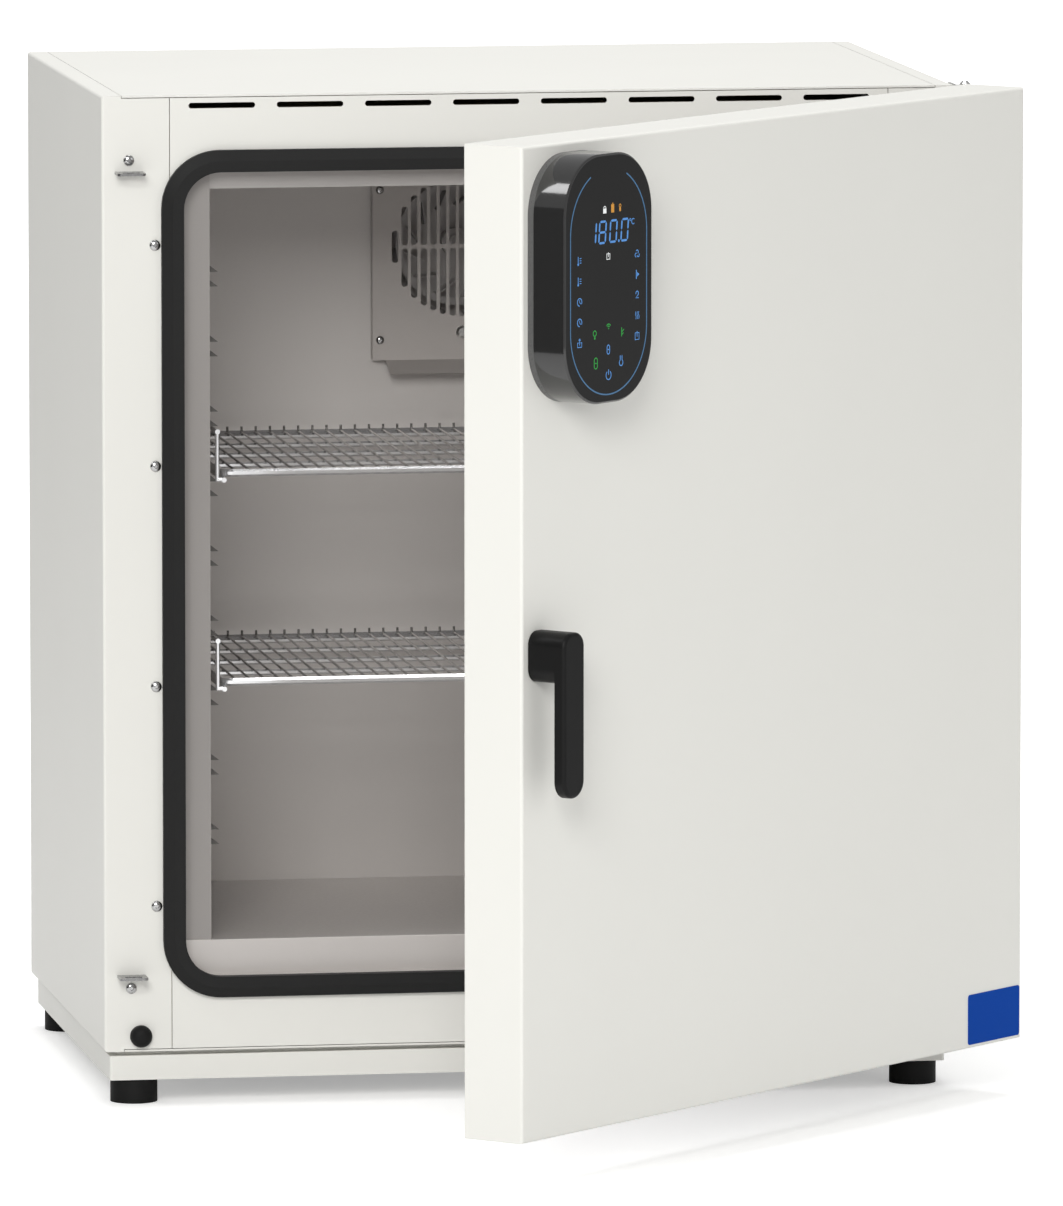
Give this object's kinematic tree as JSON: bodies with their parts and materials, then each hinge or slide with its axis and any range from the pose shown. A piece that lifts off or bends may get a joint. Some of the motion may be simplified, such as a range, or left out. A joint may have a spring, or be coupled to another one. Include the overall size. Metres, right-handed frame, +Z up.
{
  "type": "drying oven",
  "caption": "Bench drying oven with a part-open swing door, a door-mounted control unit, a lever lock with bolts, wire shelves on lugged side racks and a fan behind a slotted cover.",
  "frame": {"origin": "centre of the pattern of the four feet, on the floor", "axes": "+X right seen from the front, +Y from the door back into the chamber, +Z up"},
  "size_m": [0.7466, 1.0594, 0.8256],
  "materials": {
    "casing_white": "fine texture, satin",
    "chamber_steel": "satin",
    "chromed_wire": "bright",
    "seal_silicone": "matt",
    "black_rubber": "matt",
    "black_plastic": "fine texture, matt",
    "housing_plastic": "glossy",
    "display_glass": "polished",
    "chrome_screws": "bright",
    "plated_steel": "zinc plated",
    "steel_shaft": "ground",
    "fan_alloy": "satin",
    "mineral_wool": "fibrous",
    "circuit_board": "matt"
  },
  "bodies": {
    "casing": {"base_tray": "casing_white", "bottom_panel": "casing_white", "ceiling_panel": "chamber_steel", "chamber_liner": "chamber_steel", "cover_screws": "chrome_screws", "door_bumper": "black_rubber", "door_seal": "seal_silicone", "exhaust_duct": "chamber_steel", "fan_cover": "chamber_steel", "fan_motor": "plated_steel", "floor_panel": "chamber_steel", "foot_studs": "plated_steel", "front_frame": "casing_white", "front_screws": "chrome_screws", "heater_element": "plated_steel", "hinge_pins": "steel_shaft", "insulation_rear": "mineral_wool", "insulation_wrap": "mineral_wool", "left_rack_panel": "chamber_steel", "left_side_panel": "casing_white", "lower_hinge_case_leaf": "plated_steel", "lower_keeper": "plated_steel", "lower_runner_left": "chromed_wire", "lower_runner_right": "chromed_wire", "motor_bracket": "plated_steel", "power_board": "circuit_board", "power_inlet": "black_plastic", "rear_panel": "casing_white", "rear_screws": "chrome_screws", "right_rack_panel": "chamber_steel", "right_side_panel": "casing_white", "rubber_feet": "black_rubber", "temperature_probe": "steel_shaft", "top_panel": "casing_white", "upper_hinge_case_leaf": "plated_steel", "upper_keeper": "plated_steel", "upper_runner_left": "chromed_wire", "upper_runner_right": "chromed_wire"},
    "door": {"door_shell": "casing_white", "door_inner_panel": "chamber_steel", "door_insulation": "mineral_wool", "door_plug_pan": "chamber_steel", "lock_bracket": "plated_steel", "spindle_bush": "black_plastic", "control_base": "black_plastic", "control_housing": "housing_plastic", "control_glass": "display_glass", "display_board": "circuit_board", "lower_hinge_door_leaf": "plated_steel", "upper_hinge_door_leaf": "plated_steel"},
    "latch_handle": {"handle_lever": "black_plastic", "handle_spindle": "steel_shaft"},
    "upper_bolt": {"upper_lock_bolt": "plated_steel"},
    "lower_bolt": {"lower_lock_bolt": "plated_steel"},
    "upper_shelf": {"upper_shelf_frame": "chromed_wire", "upper_shelf_wires": "chromed_wire"},
    "lower_shelf": {"lower_shelf_frame": "chromed_wire", "lower_shelf_wires": "chromed_wire"},
    "fan": {"fan_impeller": "fan_alloy", "fan_shaft": "steel_shaft"}
  },
  "joints": [
    {"name": "door_hinge", "type": "hinge", "parent": "casing", "child": "door", "pos_m": [0.3575, -0.235, 0.43], "axis": [0, 0, 1], "range_deg": [-45.2, 75]},
    {"name": "handle_turn", "type": "hinge", "parent": "door", "child": "latch_handle", "pos_m": [-0.08189, -0.76475, 0.4266], "axis": [0.7096, -0.7046, 0], "range_deg": [0, 90]},
    {"name": "upper_bolt_slide", "type": "slide", "parent": "door", "child": "upper_bolt", "axis": [0, 0, 1], "range_m": [0, 0.014]},
    {"name": "lower_bolt_slide", "type": "slide", "parent": "door", "child": "lower_bolt", "axis": [0, 0, -1], "range_m": [0, 0.014]},
    {"name": "upper_shelf_slide", "type": "slide", "parent": "casing", "child": "upper_shelf", "axis": [0, -1, 0], "range_m": [0, 0.11]},
    {"name": "lower_shelf_slide", "type": "slide", "parent": "casing", "child": "lower_shelf", "axis": [0, -1, 0], "range_m": [0, 0.11]},
    {"name": "fan_spin", "type": "hinge", "parent": "casing", "child": "fan", "pos_m": [0, 0.15, 0.6642], "axis": [0, 1, 0], "continuous": true}
  ],
  "couplings": [
    {"joint": "upper_bolt_slide", "follows": "handle_turn", "m_per_rad": 0.0089126},
    {"joint": "lower_bolt_slide", "follows": "handle_turn", "m_per_rad": 0.0089126}
  ]
}
